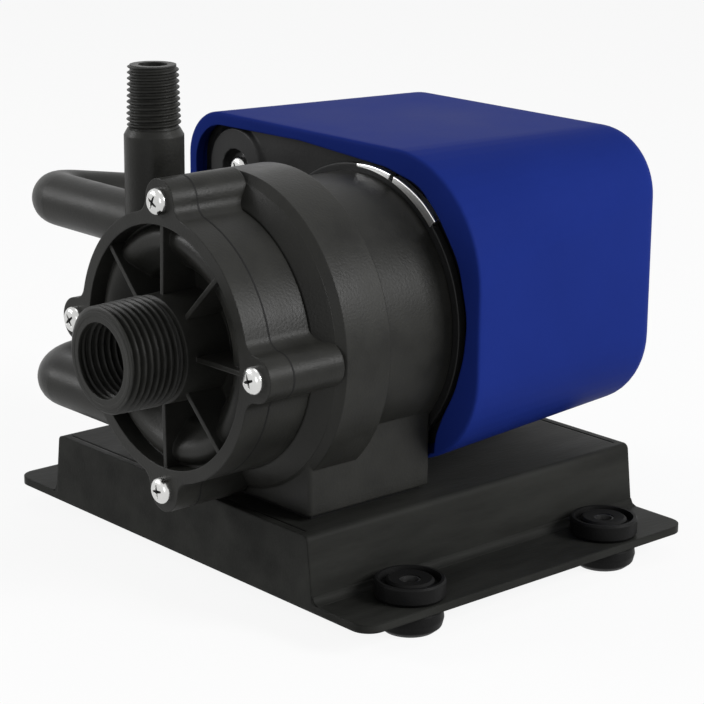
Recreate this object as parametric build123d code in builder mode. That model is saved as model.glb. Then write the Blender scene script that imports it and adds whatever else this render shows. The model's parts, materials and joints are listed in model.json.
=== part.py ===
from build123d import *
import math
import os

os.makedirs("parts", exist_ok=True)

# Magnet-drive air conditioner pump, millimetres, +Z up. The inlet faces -Y and
# the motor is at +Y. The origin is on the floor in the middle of the four feet.

# ---- driving sizes of the whole pump
AXIS_X = 17.0            # the pump axis is off the middle of the base
AXIS_Z = 66.5            # height of the pump axis over the floor
FACE_Y = -72.0           # front face of the wet end
CLEAR = 0.25             # loose fit for screws
RUN = 0.02               # running or push fit, on the radius

# ---- base
PLATEAU_Z = 24.9
SHEET = 2.0
FLANGE_Z = 6.3           # underside of the side flanges
FLANGE_HALF_X = 73.2
BASE_HALF_Y = 56.0
PLATEAU_HALF_X = 51.7
PLATEAU_FOOT_X = 53.7    # the side webs lean out by the difference
FOOT_IN = 9.2            # the feet stand this far in from the flange edges
FOOT_X = FLANGE_HALF_X - FOOT_IN
FOOT_Y = 34.0
FOOT_TOP = 13.0
FOOT_R = 8.7
SLEEVE_R = 2.6
SLEEVE_TOP = 12.4        # the steel sleeves stand on the floor
FOOT_HOLE_R = 2.15

# ---- wet end
RING_R = 33.0
RING_IN = 29.8
LOBE_R = 5.5
LOBE_PCD_R = 35.5
COVER_T = 7.0
CASING_T = 11.8
CHAMBER_R = 27.2
INLET_OUT = 17.6         # the inlet stands this far in front of the face
INLET_ROOT_R = 11.75     # root of the outer pipe thread
INLET_BORE_R = 10.1      # major radius of the inner pipe thread
INLET_THROAT_R = 8.2
OUTLET_DX = -21.3
OUTLET_Y = -57.6
OUTLET_TOP = 130.4
THREAD_LOW = 115.0
NECK_R = 7.35
OUTLET_ROOT_R = 5.65     # root of the outlet's pipe thread
OUTLET_BORE_R = 3.6
ARM_Y = -58.0
ARM_DZ = 24.3
ARM_R = 6.8
ARM_X = -51.5
ARM_BEND = 8.0
ARM_TIP = 8.0
ARM_LEAN = 13.0
SCREW_R = 1.65
SCREW_HEAD_R = 3.3
HEAD_T = 2.3

# ---- adapter between wet end and motor
ADAPTER_Y = -50.0
ADAPTER_R = 40.0
ADAPTER_BACK = -34.7
BARREL_R = 35.0
BARREL_IN = 31.5
MOTOR_Y = -10.0
PED_X0 = -11.0
PED_X1 = 45.0
PED_Y0 = -49.4
PAD_T = 1.6

# ---- magnet drive
CAN_R = 15.6
CAN_FLANGE_R = 29.6
CAN_IN = 14.0
CAN_END = -24.0
SPINDLE_R = 2.5
IMP_R = 21.5
MAG_IN = 17.0
YOKE_IN = 20.05
YOKE_OUT = 21.95
HUB_OUT = 24.0
SHAFT_R = 3.0

# ---- motor
END_RING_T = 2.5
BRACKET_W = 99.0
BRACKET_H = 72.0
BRACKET_X = 3.5
BRACKET_Z = 67.5
BRACKET_T = 4.0
POCKET = 2.2
STACK_Y0 = 8.0
STACK_T = 22.0
STACK_W = 82.0
STACK_H = 60.0
STACK_X = 3.0
BORE_R = 15.2
BEARING_R = 8.0
REAR_Y = 34.0
BOLT_R = 2.0
BOLTS = [(-2.0, 42.0), (-2.0, 91.0), (38.0, 42.0), (38.0, 91.0)]
ARM_SCREWS = [(-36.0, 94.0), (-36.0, 39.0)]

# ---- blue cover
COV_X0 = -53.7
COV_X1 = 61.5
COV_Z0 = 26.5
COV_Z1 = 109.5
COV_Y1 = 62.5
COV_WALL = 3.0
COV_LIP = 3.8
POSTS = [(17.0, 93.5), (17.0, 39.5)]

BRACKET_Y = MOTOR_Y + END_RING_T
PUMP_AXIS = Axis((AXIS_X, 0, AXIS_Z), (0, 1, 0))
# radius runs along local x and world Y along local y
AXIAL = Plane(origin=(AXIS_X, 0, AXIS_Z), x_dir=(1, 0, 0), z_dir=(0, 0, 1))


def facing(y, x=AXIS_X, z=AXIS_Z):
    # a plane across the pump axis, looking forward, so extrusions run to +Y with minus
    return Plane(origin=(x, y, z), x_dir=(1, 0, 0), z_dir=(0, -1, 0))


def axial_at(angle):
    a = math.radians(angle)
    return Plane(
        origin=(AXIS_X, 0, AXIS_Z),
        x_dir=(math.cos(a), 0, math.sin(a)),
        z_dir=(-math.sin(a), 0, math.cos(a)),
    )


def polar(r, angle):
    return (r * math.cos(math.radians(angle)), r * math.sin(math.radians(angle)))


def finish(part, name):
    part.label = name
    export_step(part, "parts/" + name + ".step")


# ================= base and feet
with BuildPart() as base_plate:
    with BuildSketch(Plane.XZ.offset(BASE_HALF_Y)) as hat:
        with BuildLine():
            Polyline(
                (-FLANGE_HALF_X, FLANGE_Z),
                (-PLATEAU_FOOT_X + SHEET, FLANGE_Z),
                (-PLATEAU_HALF_X + SHEET, PLATEAU_Z - SHEET),
                (PLATEAU_HALF_X - SHEET, PLATEAU_Z - SHEET),
                (PLATEAU_FOOT_X - SHEET, FLANGE_Z),
                (FLANGE_HALF_X, FLANGE_Z),
                (FLANGE_HALF_X, FLANGE_Z + SHEET),
                (PLATEAU_FOOT_X, FLANGE_Z + SHEET),
                (PLATEAU_HALF_X, PLATEAU_Z),
                (-PLATEAU_HALF_X, PLATEAU_Z),
                (-PLATEAU_FOOT_X, FLANGE_Z + SHEET),
                (-FLANGE_HALF_X, FLANGE_Z + SHEET),
                close=True,
            )
        make_face()
    extrude(amount=-2 * BASE_HALF_Y)
    # folded panels close the two ends
    for end in (-1, 1):
        with BuildSketch(Plane.XZ.offset(BASE_HALF_Y if end < 0 else -BASE_HALF_Y)):
            with BuildLine():
                Polyline(
                    (-PLATEAU_FOOT_X, FLANGE_Z),
                    (PLATEAU_FOOT_X, FLANGE_Z),
                    (PLATEAU_FOOT_X, FLANGE_Z + SHEET),
                    (PLATEAU_HALF_X, PLATEAU_Z),
                    (-PLATEAU_HALF_X, PLATEAU_Z),
                    (-PLATEAU_FOOT_X, FLANGE_Z + SHEET),
                    close=True,
                )
            make_face()
        extrude(amount=end * SHEET)
    crests = base_plate.edges().filter_by(Axis.Y).group_by(Axis.Z)[-1]
    fillet(crests, radius=1.6)
    corners = base_plate.edges().filter_by(Axis.Z).filter_by(
        lambda e: abs(e.center().X) > FLANGE_HALF_X - 1
    )
    fillet(corners, radius=5.0)
    # seam where each end panel meets the top sheet
    for side in (-1, 1):
        with Locations((0, side * (BASE_HALF_Y - SHEET - 0.3), PLATEAU_Z)):
            Box(2 * PLATEAU_HALF_X - 6, 0.5, 0.8, mode=Mode.SUBTRACT)
    # holes for the feet and for the pedestal screws
    with Locations(*[(x, y, FLANGE_Z + SHEET / 2) for x in (-FOOT_X, FOOT_X) for y in (-FOOT_Y, FOOT_Y)]):
        Cylinder(5.2, 3 * SHEET, mode=Mode.SUBTRACT)
    with Locations(*[(x, y, PLATEAU_Z - SHEET / 2) for x in (-3.0, 37.0) for y in (-43.0, -17.0)]):
        Cylinder(SCREW_R + CLEAR, 3 * SHEET, mode=Mode.SUBTRACT)
finish(base_plate.part, "base_plate")


def grommet(name, x, y):
    # rubber foot: a grooved collar on the flange, a waist in the hole, a bulged underside
    with BuildPart() as foot:
        with BuildSketch(Plane(origin=(x, y, 0), x_dir=(1, 0, 0), z_dir=(0, -1, 0))):
            with BuildLine():
                inner = SLEEVE_R + RUN
                Polyline(
                    (inner, 0),
                    (6.4, 0),
                    (7.9, 1.2),
                    (8.4, 3.2),
                    (8.1, 5.2),
                    (7.4, FLANGE_Z - 0.02),
                    (5.15, FLANGE_Z - 0.02),
                    (5.15, FLANGE_Z + SHEET + 0.02),
                    (8.2, FLANGE_Z + SHEET + 0.02),
                    (FOOT_R, FLANGE_Z + SHEET + 0.8),
                    (FOOT_R, FOOT_TOP - 0.5),
                    (8.3, FOOT_TOP),
                    (7.6, FOOT_TOP),
                    (7.2, FOOT_TOP - 1.9),
                    (6.2, FOOT_TOP - 1.9),
                    (5.9, FOOT_TOP - 0.6),
                    (5.3, FOOT_TOP - 0.1),
                    (inner, FOOT_TOP - 0.4),
                    close=True,
                )
            make_face()
        revolve(axis=Axis((x, y, 0), (0, 0, 1)))
        rounded = foot.edges().filter_by(GeomType.CIRCLE).filter_by(
            lambda e: e.radius > 7.7 and 1.0 < e.center().Z < 5.5
        )
        fillet(rounded, radius=1.2)
    finish(foot.part, name)


grommet("foot_front_right", FOOT_X, -FOOT_Y)
grommet("foot_front_left", -FOOT_X, -FOOT_Y)
grommet("foot_rear_right", FOOT_X, FOOT_Y)
grommet("foot_rear_left", -FOOT_X, FOOT_Y)

with BuildPart() as foot_sleeves:
    with Locations(*[(x, y, SLEEVE_TOP / 2) for x in (-FOOT_X, FOOT_X) for y in (-FOOT_Y, FOOT_Y)]):
        Cylinder(SLEEVE_R, SLEEVE_TOP)
        Cylinder(FOOT_HOLE_R, SLEEVE_TOP + 2, mode=Mode.SUBTRACT)
finish(foot_sleeves.part, "foot_sleeves")

# ================= adapter bracket with its pedestal
with BuildPart() as adapter_bracket:
    with BuildSketch(AXIAL):
        with BuildLine():
            Polyline(
                (CAN_R + 0.3, ADAPTER_Y),
                (ADAPTER_R - 1.9, ADAPTER_Y),
                (ADAPTER_R, ADAPTER_Y + 1.7),
                (ADAPTER_R, ADAPTER_BACK),
                (BARREL_R, ADAPTER_BACK),
                (BARREL_R, MOTOR_Y),
                (BARREL_IN, MOTOR_Y),
                (BARREL_IN, ADAPTER_Y + 4),
                (CAN_R + 0.3, ADAPTER_Y + 4),
                close=True,
            )
        make_face()
    revolve(axis=PUMP_AXIS)
    ped_z0 = PLATEAU_Z + PAD_T
    ped_z1 = AXIS_Z - 21.0
    with BuildSketch(Plane.XY.offset(ped_z0)):
        with Locations(((PED_X0 + PED_X1) / 2, (PED_Y0 + MOTOR_Y - 0.3) / 2)):
            RectangleRounded(PED_X1 - PED_X0, MOTOR_Y - 0.3 - PED_Y0, 1.0)
    extrude(amount=ped_z1 - ped_z0)
    # the drive magnet space stays open through the block
    with BuildSketch(facing(ADAPTER_Y + 4)):
        Circle(BARREL_IN)
    extrude(amount=-(MOTOR_Y - ADAPTER_Y - 4), mode=Mode.SUBTRACT)
    # the block is cored from below, between its four screw bosses
    with Locations(((PED_X0 + PED_X1) / 2, (PED_Y0 + MOTOR_Y) / 2, ped_z0 + 1.5)):
        Box(28, 30, 5, mode=Mode.SUBTRACT)
    with Locations(*[(x, y, ped_z0 + 4) for x in (-3.0, 37.0) for y in (-43.0, -17.0)]):
        Cylinder(SCREW_R + RUN, 12, mode=Mode.SUBTRACT)
    with BuildSketch(facing(ADAPTER_Y)):
        with PolarLocations(LOBE_PCD_R, 4):
            Circle(SCREW_R + RUN)
    extrude(amount=-9, mode=Mode.SUBTRACT)
    with BuildSketch(facing(MOTOR_Y)):
        with PolarLocations((BARREL_R + BARREL_IN) / 2, 4, start_angle=45):
            Circle(1.1)
    extrude(amount=8, mode=Mode.SUBTRACT)
finish(adapter_bracket.part, "adapter_bracket")

with BuildPart() as pedestal_pad:
    with Locations(((PED_X0 + PED_X1) / 2, (PED_Y0 + MOTOR_Y) / 2, PLATEAU_Z + PAD_T / 2)):
        Box(PED_X1 - PED_X0 - 4, MOTOR_Y - PED_Y0 - 4, PAD_T)
    with Locations(*[(x, y, PLATEAU_Z + 1) for x in (-3.0, 37.0) for y in (-43.0, -17.0)]):
        Cylinder(SCREW_R + CLEAR, 6, mode=Mode.SUBTRACT)
finish(pedestal_pad.part, "pedestal_pad")

with BuildPart() as pedestal_screws:
    for x in (-3.0, 37.0):
        for y in (-43.0, -17.0):
            with Locations((x, y, PLATEAU_Z - SHEET - 1.2)):
                Cylinder(SCREW_HEAD_R, 2.4)
            with Locations((x, y, PLATEAU_Z + 2)):
                Cylinder(SCREW_R, 9)
finish(pedestal_screws.part, "pedestal_screws")


# ================= wet end
def lobed_outline():
    # round flange with four screw lobes, blended with hollow corners
    Circle(RING_R)
    with PolarLocations(LOBE_PCD_R, 4):
        Circle(LOBE_R)


JOINT_Y = FACE_Y + COVER_T
CASING_BACK = JOINT_Y + CASING_T

with BuildPart() as volute_casing:
    with BuildSketch(facing(JOINT_Y)) as lobes:
        lobed_outline()
        fillet(lobes.vertices(), radius=4.0)
    extrude(amount=-(ADAPTER_Y - JOINT_Y))
    # only the screw lobes reach the adapter, the round part stops short of it
    with BuildSketch(facing(CASING_BACK)):
        Circle(RING_R + 0.2)
    extrude(amount=-(ADAPTER_Y - CASING_BACK), mode=Mode.SUBTRACT)
    # outlet neck and the plain root the pipe thread is cut on
    with BuildSketch(Plane(origin=(AXIS_X + OUTLET_DX, OUTLET_Y, 0), x_dir=(1, 0, 0), z_dir=(0, -1, 0))):
        with BuildLine():
            Polyline(
                (0, AXIS_Z + 10),
                (NECK_R, AXIS_Z + 10),
                (NECK_R, THREAD_LOW - 1.6),
                (NECK_R - 0.9, THREAD_LOW),
                (OUTLET_ROOT_R, THREAD_LOW),
                (OUTLET_ROOT_R, OUTLET_TOP),
                (0, OUTLET_TOP),
                close=True,
            )
        make_face()
    revolve(axis=Axis((AXIS_X + OUTLET_DX, OUTLET_Y, 0), (0, 0, 1)))
    # two moulded arms that run left, bend and go back to the motor bracket
    for side in (1, -1):
        z = AXIS_Z + side * ARM_DZ
        x_in = AXIS_X + OUTLET_DX + 1 if side > 0 else AXIS_X - 9
        # the bend lies in a plane tipped about the run, and turns a little past square
        tip = math.radians(side * ARM_TIP)
        over = math.radians(ARM_LEAN)
        rear = Vector(0, math.cos(tip), -math.sin(tip))
        left = Vector(-1, 0, 0)
        pivot = Vector(ARM_X + ARM_BEND, ARM_Y, z) + rear * ARM_BEND
        half = (math.pi / 2 + over) / 2
        middle = pivot + (left * math.sin(half) - rear * math.cos(half)) * ARM_BEND
        after = pivot + (left * math.cos(over) + rear * math.sin(over)) * ARM_BEND
        back = rear * math.cos(over) - left * math.sin(over)
        end = after + back * ((BRACKET_Y + 3 - after.Y) / back.Y)
        with BuildLine() as path:
            Line((x_in, ARM_Y, z), (ARM_X + ARM_BEND, ARM_Y, z))
            ThreePointArc((ARM_X + ARM_BEND, ARM_Y, z), middle, after)
            Line(after, end)
        with BuildSketch(Plane(origin=(x_in, ARM_Y, z), x_dir=(0, 1, 0), z_dir=(-1, 0, 0))):
            Circle(ARM_R)
        sweep(path=path.wires()[0])
        with Locations((end.X, BRACKET_Y + 6, end.Z)):
            Box(24, 12, 24, mode=Mode.SUBTRACT)
    # room for the flange of the can, then pumping chamber, screw holes, seal groove, outlet bore
    with BuildSketch(facing(CASING_BACK)):
        Circle(RING_R - 0.6)
    extrude(amount=-(ADAPTER_Y - CASING_BACK), mode=Mode.SUBTRACT)
    with BuildSketch(facing(JOINT_Y)):
        Circle(CHAMBER_R)
    extrude(amount=-CASING_T, mode=Mode.SUBTRACT)
    with BuildSketch(facing(JOINT_Y)):
        with PolarLocations(LOBE_PCD_R, 4):
            Circle(SCREW_R + CLEAR)
    extrude(amount=-(ADAPTER_Y - JOINT_Y), mode=Mode.SUBTRACT)
    with BuildSketch(AXIAL):
        with Locations((30.0, JOINT_Y + 0.75)):
            Rectangle(2.2, 1.5)
    revolve(axis=PUMP_AXIS, mode=Mode.SUBTRACT)
    with Locations((AXIS_X + OUTLET_DX, OUTLET_Y, (OUTLET_TOP + AXIS_Z + 8) / 2)):
        Cylinder(OUTLET_BORE_R, OUTLET_TOP - AXIS_Z - 8, mode=Mode.SUBTRACT)
finish(volute_casing.part, "volute_casing")

with BuildPart() as housing_oring:
    with BuildSketch(AXIAL):
        with Locations((30.0, JOINT_Y + 0.75)):
            Circle(0.73)
    revolve(axis=PUMP_AXIS)
finish(housing_oring.part, "housing_oring")

with BuildPart() as front_cover:
    with BuildSketch(facing(FACE_Y)) as lobes:
        lobed_outline()
        fillet(lobes.vertices(), radius=4.0)
    extrude(amount=-COVER_T)
    with BuildSketch(facing(FACE_Y)):
        Circle(RING_IN)
    extrude(amount=-COVER_T, mode=Mode.SUBTRACT)
    # dished wall: the round volute bulge, the deep middle and the inlet tube
    with BuildSketch(AXIAL) as wall:
        with BuildLine():
            tip = FACE_Y - INLET_OUT
            a = Polyline(
                (RING_IN + 0.6, JOINT_Y),
                (RING_IN + 0.6, FACE_Y + 4.6),
                (RING_IN - 0.6, FACE_Y + 4.6),
            )
            b = Spline(
                a @ 1,
                (24.8, FACE_Y + 2.6),
                (20.4, FACE_Y + 6.0),
                (18.2, FACE_Y + 9.6),
                tangents=((-0.5, -1), (-0.2, 1)),
            )
            c = Polyline(
                b @ 1,
                (13.6, FACE_Y + 10.2),
                (13.2, FACE_Y - 2.2),
                (INLET_ROOT_R, FACE_Y - 2.8),
                (INLET_ROOT_R, tip),
                (INLET_BORE_R + 0.5, tip),
                (INLET_BORE_R, tip + 0.8),
                (INLET_BORE_R, FACE_Y - 1.0),
                (INLET_THROAT_R, FACE_Y),
                (INLET_THROAT_R, FACE_Y + 12.2),
                (19.6, FACE_Y + 12.2),
                (22.4, JOINT_Y - 0.4),
                (26.6, JOINT_Y - 1.2),
                (CHAMBER_R, JOINT_Y),
                (RING_IN + 0.6, JOINT_Y),
            )
        make_face()
    revolve(axis=PUMP_AXIS)
    # eight thin ribs from the inlet tube to the ring
    for k in range(8):
        with BuildSketch(axial_at(45 * k)):
            with BuildLine():
                Polyline(
                    (12.6, FACE_Y + 0.3),
                    (RING_IN + 0.3, FACE_Y + 0.6),
                    (RING_IN + 0.3, FACE_Y + 5.6),
                    (24.8, FACE_Y + 4.2),
                    (20.2, FACE_Y + 8.0),
                    (17.8, FACE_Y + 11.2),
                    (12.6, FACE_Y + 11.2),
                    close=True,
                )
            make_face()
        extrude(amount=0.6, both=True)
    # three vanes in the throat carry the front end of the spindle
    with BuildSketch(facing(FACE_Y + 5.5)):
        Circle(4.2)
    extrude(amount=-6.7)
    for k in range(3):
        with BuildSketch(axial_at(90 + 120 * k)):
            with Locations(((3.6 + INLET_THROAT_R + 0.4) / 2, FACE_Y + 8.6)):
                Rectangle(INLET_THROAT_R + 0.4 - 3.6, 5.2)
        extrude(amount=0.7, both=True)
    with BuildSketch(facing(FACE_Y + 12.2)):
        Circle(SPINDLE_R + RUN)
    extrude(amount=5.6, mode=Mode.SUBTRACT)
    with BuildSketch(facing(FACE_Y)):
        with PolarLocations(LOBE_PCD_R, 4):
            Circle(SCREW_R + CLEAR)
    extrude(amount=-COVER_T, mode=Mode.SUBTRACT)
finish(front_cover.part, "front_cover")

with BuildPart() as housing_screws:
    for k in range(4):
        dx, dz = polar(LOBE_PCD_R, 90 * k)
        with BuildSketch(facing(FACE_Y, AXIS_X + dx, AXIS_Z + dz)):
            Circle(SCREW_HEAD_R)
        extrude(amount=HEAD_T)
        with BuildSketch(facing(FACE_Y, AXIS_X + dx, AXIS_Z + dz)):
            Circle(SCREW_R)
        extrude(amount=-(ADAPTER_Y + 8.0 - FACE_Y))
    fillet(housing_screws.edges().group_by(Axis.Y)[0], radius=1.4)
finish(housing_screws.part, "housing_screws")

# ================= canned magnet drive
with BuildPart() as isolation_can:
    with BuildSketch(AXIAL):
        with BuildLine():
            Polyline(
                (0, CAN_END - 1.6),
                (SPINDLE_R + RUN, CAN_END - 1.6),
                (SPINDLE_R + RUN, CAN_END - 5),
                (4.6, CAN_END - 5),
                (4.6, CAN_END - 1.6),
                (CAN_IN, CAN_END - 1.6),
                (CAN_IN, CASING_BACK),
                (CAN_FLANGE_R, CASING_BACK),
                (CAN_FLANGE_R, ADAPTER_Y),
                (CAN_R, ADAPTER_Y),
                (CAN_R, CAN_END),
                (0, CAN_END),
                close=True,
            )
        make_face()
    revolve(axis=PUMP_AXIS)
finish(isolation_can.part, "isolation_can")

SPINDLE_Y0 = FACE_Y + 6.7
with BuildPart() as spindle:
    with BuildSketch(facing(SPINDLE_Y0)):
        Circle(SPINDLE_R)
    extrude(amount=-(CAN_END - 1.65 - SPINDLE_Y0))
    chamfer(spindle.edges().filter_by(GeomType.CIRCLE), length=0.3)
finish(spindle.part, "spindle")

BUSH_Y0 = FACE_Y + 13.4
BUSH_Y1 = CAN_END - 6.2
for label, y0 in (("thrust_washer_front", FACE_Y + 12.2), ("thrust_washer_rear", CAN_END - 6.0)):
    with BuildPart() as washer:
        with BuildSketch(facing(y0)):
            Circle(5.0)
            Circle(SPINDLE_R + RUN, mode=Mode.SUBTRACT)
        extrude(amount=-1.0)
    finish(washer.part, label)

with BuildPart() as impeller_bush:
    with BuildSketch(facing(BUSH_Y0)):
        Circle(5.0)
        Circle(SPINDLE_R + 0.06, mode=Mode.SUBTRACT)
    extrude(amount=-(BUSH_Y1 - BUSH_Y0))
finish(impeller_bush.part, "impeller_bush")

SHROUD_Y0 = CASING_BACK - 2.3
with BuildPart() as impeller:
    with BuildSketch(facing(BUSH_Y0 + 0.1)):
        Circle(6.9)
        Circle(5.0 + RUN, mode=Mode.SUBTRACT)
    extrude(amount=-(BUSH_Y1 - 0.2 - BUSH_Y0))
    with BuildSketch(facing(SHROUD_Y0)):
        Circle(IMP_R)
        Circle(6.0, mode=Mode.SUBTRACT)
    extrude(amount=-1.8)
    # six backswept blades on the shroud
    with BuildSketch(facing(SHROUD_Y0)):
        for k in range(6):
            with BuildLine():
                blade = ThreePointArc(polar(6.6, 60 * k), polar(14.6, 60 * k - 14), polar(IMP_R - 0.7, 60 * k - 42))
                offset(blade, amount=0.7)
            make_face()
    extrude(amount=3.0)
finish(impeller.part, "impeller")

with BuildPart() as impeller_magnet:
    with BuildSketch(facing(SHROUD_Y0 + 1.85)):
        Circle(13.2)
        Circle(6.95, mode=Mode.SUBTRACT)
    extrude(amount=-(BUSH_Y1 - 1.0 - SHROUD_Y0 - 1.85))
finish(impeller_magnet.part, "impeller_magnet")

HUB_Y0 = ADAPTER_Y + 5.0
WEB_Y0 = CAN_END + 3.0
with BuildPart() as drive_hub:
    with BuildSketch(AXIAL):
        with BuildLine():
            Polyline(
                (YOKE_OUT + RUN, HUB_Y0),
                (HUB_OUT, HUB_Y0),
                (HUB_OUT, WEB_Y0 + 2),
                (HUB_OUT - 1, WEB_Y0 + 3),
                (6.5, WEB_Y0 + 3),
                (6.5, MOTOR_Y - 2.5),
                (SHAFT_R + RUN, MOTOR_Y - 2.5),
                (SHAFT_R + RUN, WEB_Y0),
                (YOKE_OUT + RUN, WEB_Y0),
                close=True,
            )
        make_face()
    revolve(axis=PUMP_AXIS)
finish(drive_hub.part, "drive_hub")

with BuildPart() as drive_yoke:
    with BuildSketch(facing(HUB_Y0 + 0.3)):
        Circle(YOKE_OUT)
        Circle(YOKE_IN, mode=Mode.SUBTRACT)
    extrude(amount=-(WEB_Y0 - HUB_Y0 - 0.35))
finish(drive_yoke.part, "drive_yoke")

with BuildPart() as drive_magnets:
    with BuildSketch(facing(HUB_Y0 + 0.8)):
        Circle(YOKE_IN - RUN)
        Circle(MAG_IN, mode=Mode.SUBTRACT)
        with PolarLocations(0, 6, start_angle=30):
            with Locations((18.5, 0)):
                Rectangle(5, 1.2, mode=Mode.SUBTRACT)
    extrude(amount=-(WEB_Y0 - HUB_Y0 - 1.4))
finish(drive_magnets.part, "drive_magnets")

# ================= shaded-pole motor
with BuildPart() as motor_end_ring:
    with BuildSketch(facing(MOTOR_Y)):
        Circle(38.6)
        Circle(14.0, mode=Mode.SUBTRACT)
        with PolarLocations((BARREL_R + BARREL_IN) / 2, 4, start_angle=45):
            Circle(1.35, mode=Mode.SUBTRACT)
        with PolarLocations(38.6, 1, start_angle=58):
            Rectangle(3.0, 1.6, mode=Mode.SUBTRACT)
    extrude(amount=-END_RING_T)
finish(motor_end_ring.part, "motor_end_ring")

with BuildPart() as end_ring_screws:
    for k in range(4):
        a = math.radians(45 + 90 * k)
        r = (BARREL_R + BARREL_IN) / 2
        with BuildSketch(facing(MOTOR_Y - 6.5, AXIS_X + r * math.cos(a), AXIS_Z + r * math.sin(a))):
            Circle(1.08)
        extrude(amount=-(6.5 + END_RING_T - 1.4))
        with BuildSketch(facing(MOTOR_Y + END_RING_T - 1.4, AXIS_X + r * math.cos(a), AXIS_Z + r * math.sin(a))):
            Circle(1.3)
        extrude(amount=-1.35)
finish(end_ring_screws.part, "end_ring_screws")

with BuildPart() as motor_front_bracket:
    with BuildSketch(facing(BRACKET_Y, BRACKET_X, BRACKET_Z)) as plate:
        Rectangle(BRACKET_W, BRACKET_H)
        fillet(plate.vertices(), radius=17.0)
    extrude(amount=-BRACKET_T)
    with BuildSketch(facing(BRACKET_Y + BRACKET_T)):
        Circle(11.5)
    extrude(amount=-4.0)
    with BuildSketch(facing(BRACKET_Y)):
        Circle(BEARING_R + RUN)
    extrude(amount=-9.0, mode=Mode.SUBTRACT)
    # pockets round the two arm screws
    for x, z in ARM_SCREWS:
        with BuildSketch(facing(BRACKET_Y, x, z)):
            Circle(5.2)
        extrude(amount=-POCKET, mode=Mode.SUBTRACT)
        with BuildSketch(facing(BRACKET_Y, x, z)):
            Circle(SCREW_R + CLEAR)
        extrude(amount=-BRACKET_T, mode=Mode.SUBTRACT)
    for x, z in BOLTS:
        with BuildSketch(facing(BRACKET_Y, x, z)):
            Circle(BOLT_R + CLEAR)
        extrude(amount=-BRACKET_T, mode=Mode.SUBTRACT)
    # air openings under the coil and at the right
    for x, z, w, h in ((-20, 55, 10, 24), (48, 66, 5, 26)):
        with BuildSketch(facing(BRACKET_Y, x, z)):
            RectangleRounded(w, h, 2.2)
        extrude(amount=-BRACKET_T, mode=Mode.SUBTRACT)
finish(motor_front_bracket.part, "motor_front_bracket")

with BuildPart() as arm_screws:
    for x, z in ARM_SCREWS:
        with BuildSketch(facing(BRACKET_Y + POCKET, x, z)):
            Circle(SCREW_HEAD_R)
        extrude(amount=HEAD_T)
        with BuildSketch(facing(BRACKET_Y + POCKET, x, z)):
            Circle(SCREW_R)
        extrude(amount=-9.0)
    fillet(arm_screws.edges().group_by(Axis.Y)[0], radius=1.4)
finish(arm_screws.part, "arm_screws")

STACK_Y1 = STACK_Y0 + STACK_T
with BuildPart() as stator_core:
    with BuildSketch(facing(STACK_Y0, STACK_X, AXIS_Z)) as frame:
        Rectangle(STACK_W, STACK_H)
        fillet(frame.vertices(), radius=4)
        with Locations((-16.5, 0)):
            Rectangle(17, 34, mode=Mode.SUBTRACT)
        with Locations((AXIS_X - STACK_X, 0)):
            Circle(BORE_R, mode=Mode.SUBTRACT)
        # saturation slits beside the bore, with the shading notches
        with Locations((AXIS_X - STACK_X, 24), (AXIS_X - STACK_X, -24)):
            Rectangle(1.6, 12.5, mode=Mode.SUBTRACT)
    extrude(amount=-STACK_T)
    for x, z in BOLTS:
        with BuildSketch(facing(STACK_Y0, x, z)):
            Circle(BOLT_R + CLEAR)
        extrude(amount=-STACK_T, mode=Mode.SUBTRACT)
finish(stator_core.part, "stator_core")

COIL_X = STACK_X - STACK_W / 2 + 8.0
COIL_Y = STACK_Y0 + STACK_T / 2
with BuildPart() as coil_bobbin:
    with Locations((COIL_X, COIL_Y, AXIS_Z)):
        Box(18.8, 24.8, 33.4)
    for dz in (-15.9, 15.9):
        with Locations((COIL_X, COIL_Y, AXIS_Z + dz)):
            Box(33.0, 38.4, 1.6)
    with Locations((COIL_X, COIL_Y, AXIS_Z)):
        Box(16.4, 22.4, 40, mode=Mode.SUBTRACT)
finish(coil_bobbin.part, "coil_bobbin")

with BuildPart() as coil_winding:
    with Locations((COIL_X, COIL_Y, AXIS_Z)):
        Box(32.0, 37.4, 30.0)
    fillet(coil_winding.edges().filter_by(Axis.Z), radius=4.0)
    with Locations((COIL_X, COIL_Y, AXIS_Z)):
        Box(18.9, 24.9, 40, mode=Mode.SUBTRACT)
finish(coil_winding.part, "coil_winding")

with BuildPart() as bearing_front:
    with BuildSketch(facing(BRACKET_Y + 0.2)):
        Circle(BEARING_R)
        Circle(SHAFT_R + 0.03, mode=Mode.SUBTRACT)
    extrude(amount=-7.6)
finish(bearing_front.part, "bearing_front")

with BuildPart() as motor_rear_bracket:
    with BuildSketch(facing(REAR_Y, 18.0, AXIS_Z)) as plate:
        Rectangle(50, 62)
        fillet(plate.vertices(), radius=8)
    extrude(amount=-BRACKET_T)
    with BuildSketch(facing(REAR_Y)):
        Circle(11.5)
    extrude(amount=-8)
    with BuildSketch(facing(REAR_Y)):
        Circle(BEARING_R + RUN)
    extrude(amount=-8, mode=Mode.SUBTRACT)
    for x, z in BOLTS:
        with BuildSketch(facing(REAR_Y, x, z)):
            Circle(BOLT_R + CLEAR)
        extrude(amount=-BRACKET_T, mode=Mode.SUBTRACT)
    for x, z in POSTS:
        with BuildSketch(facing(REAR_Y, x, z)):
            Circle(SCREW_R)
        extrude(amount=-BRACKET_T, mode=Mode.SUBTRACT)
finish(motor_rear_bracket.part, "motor_rear_bracket")

with BuildPart() as bearing_rear:
    with BuildSketch(facing(REAR_Y + 0.2)):
        Circle(BEARING_R)
        Circle(SHAFT_R + 0.03, mode=Mode.SUBTRACT)
    extrude(amount=-7.6)
finish(bearing_rear.part, "bearing_rear")

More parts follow.
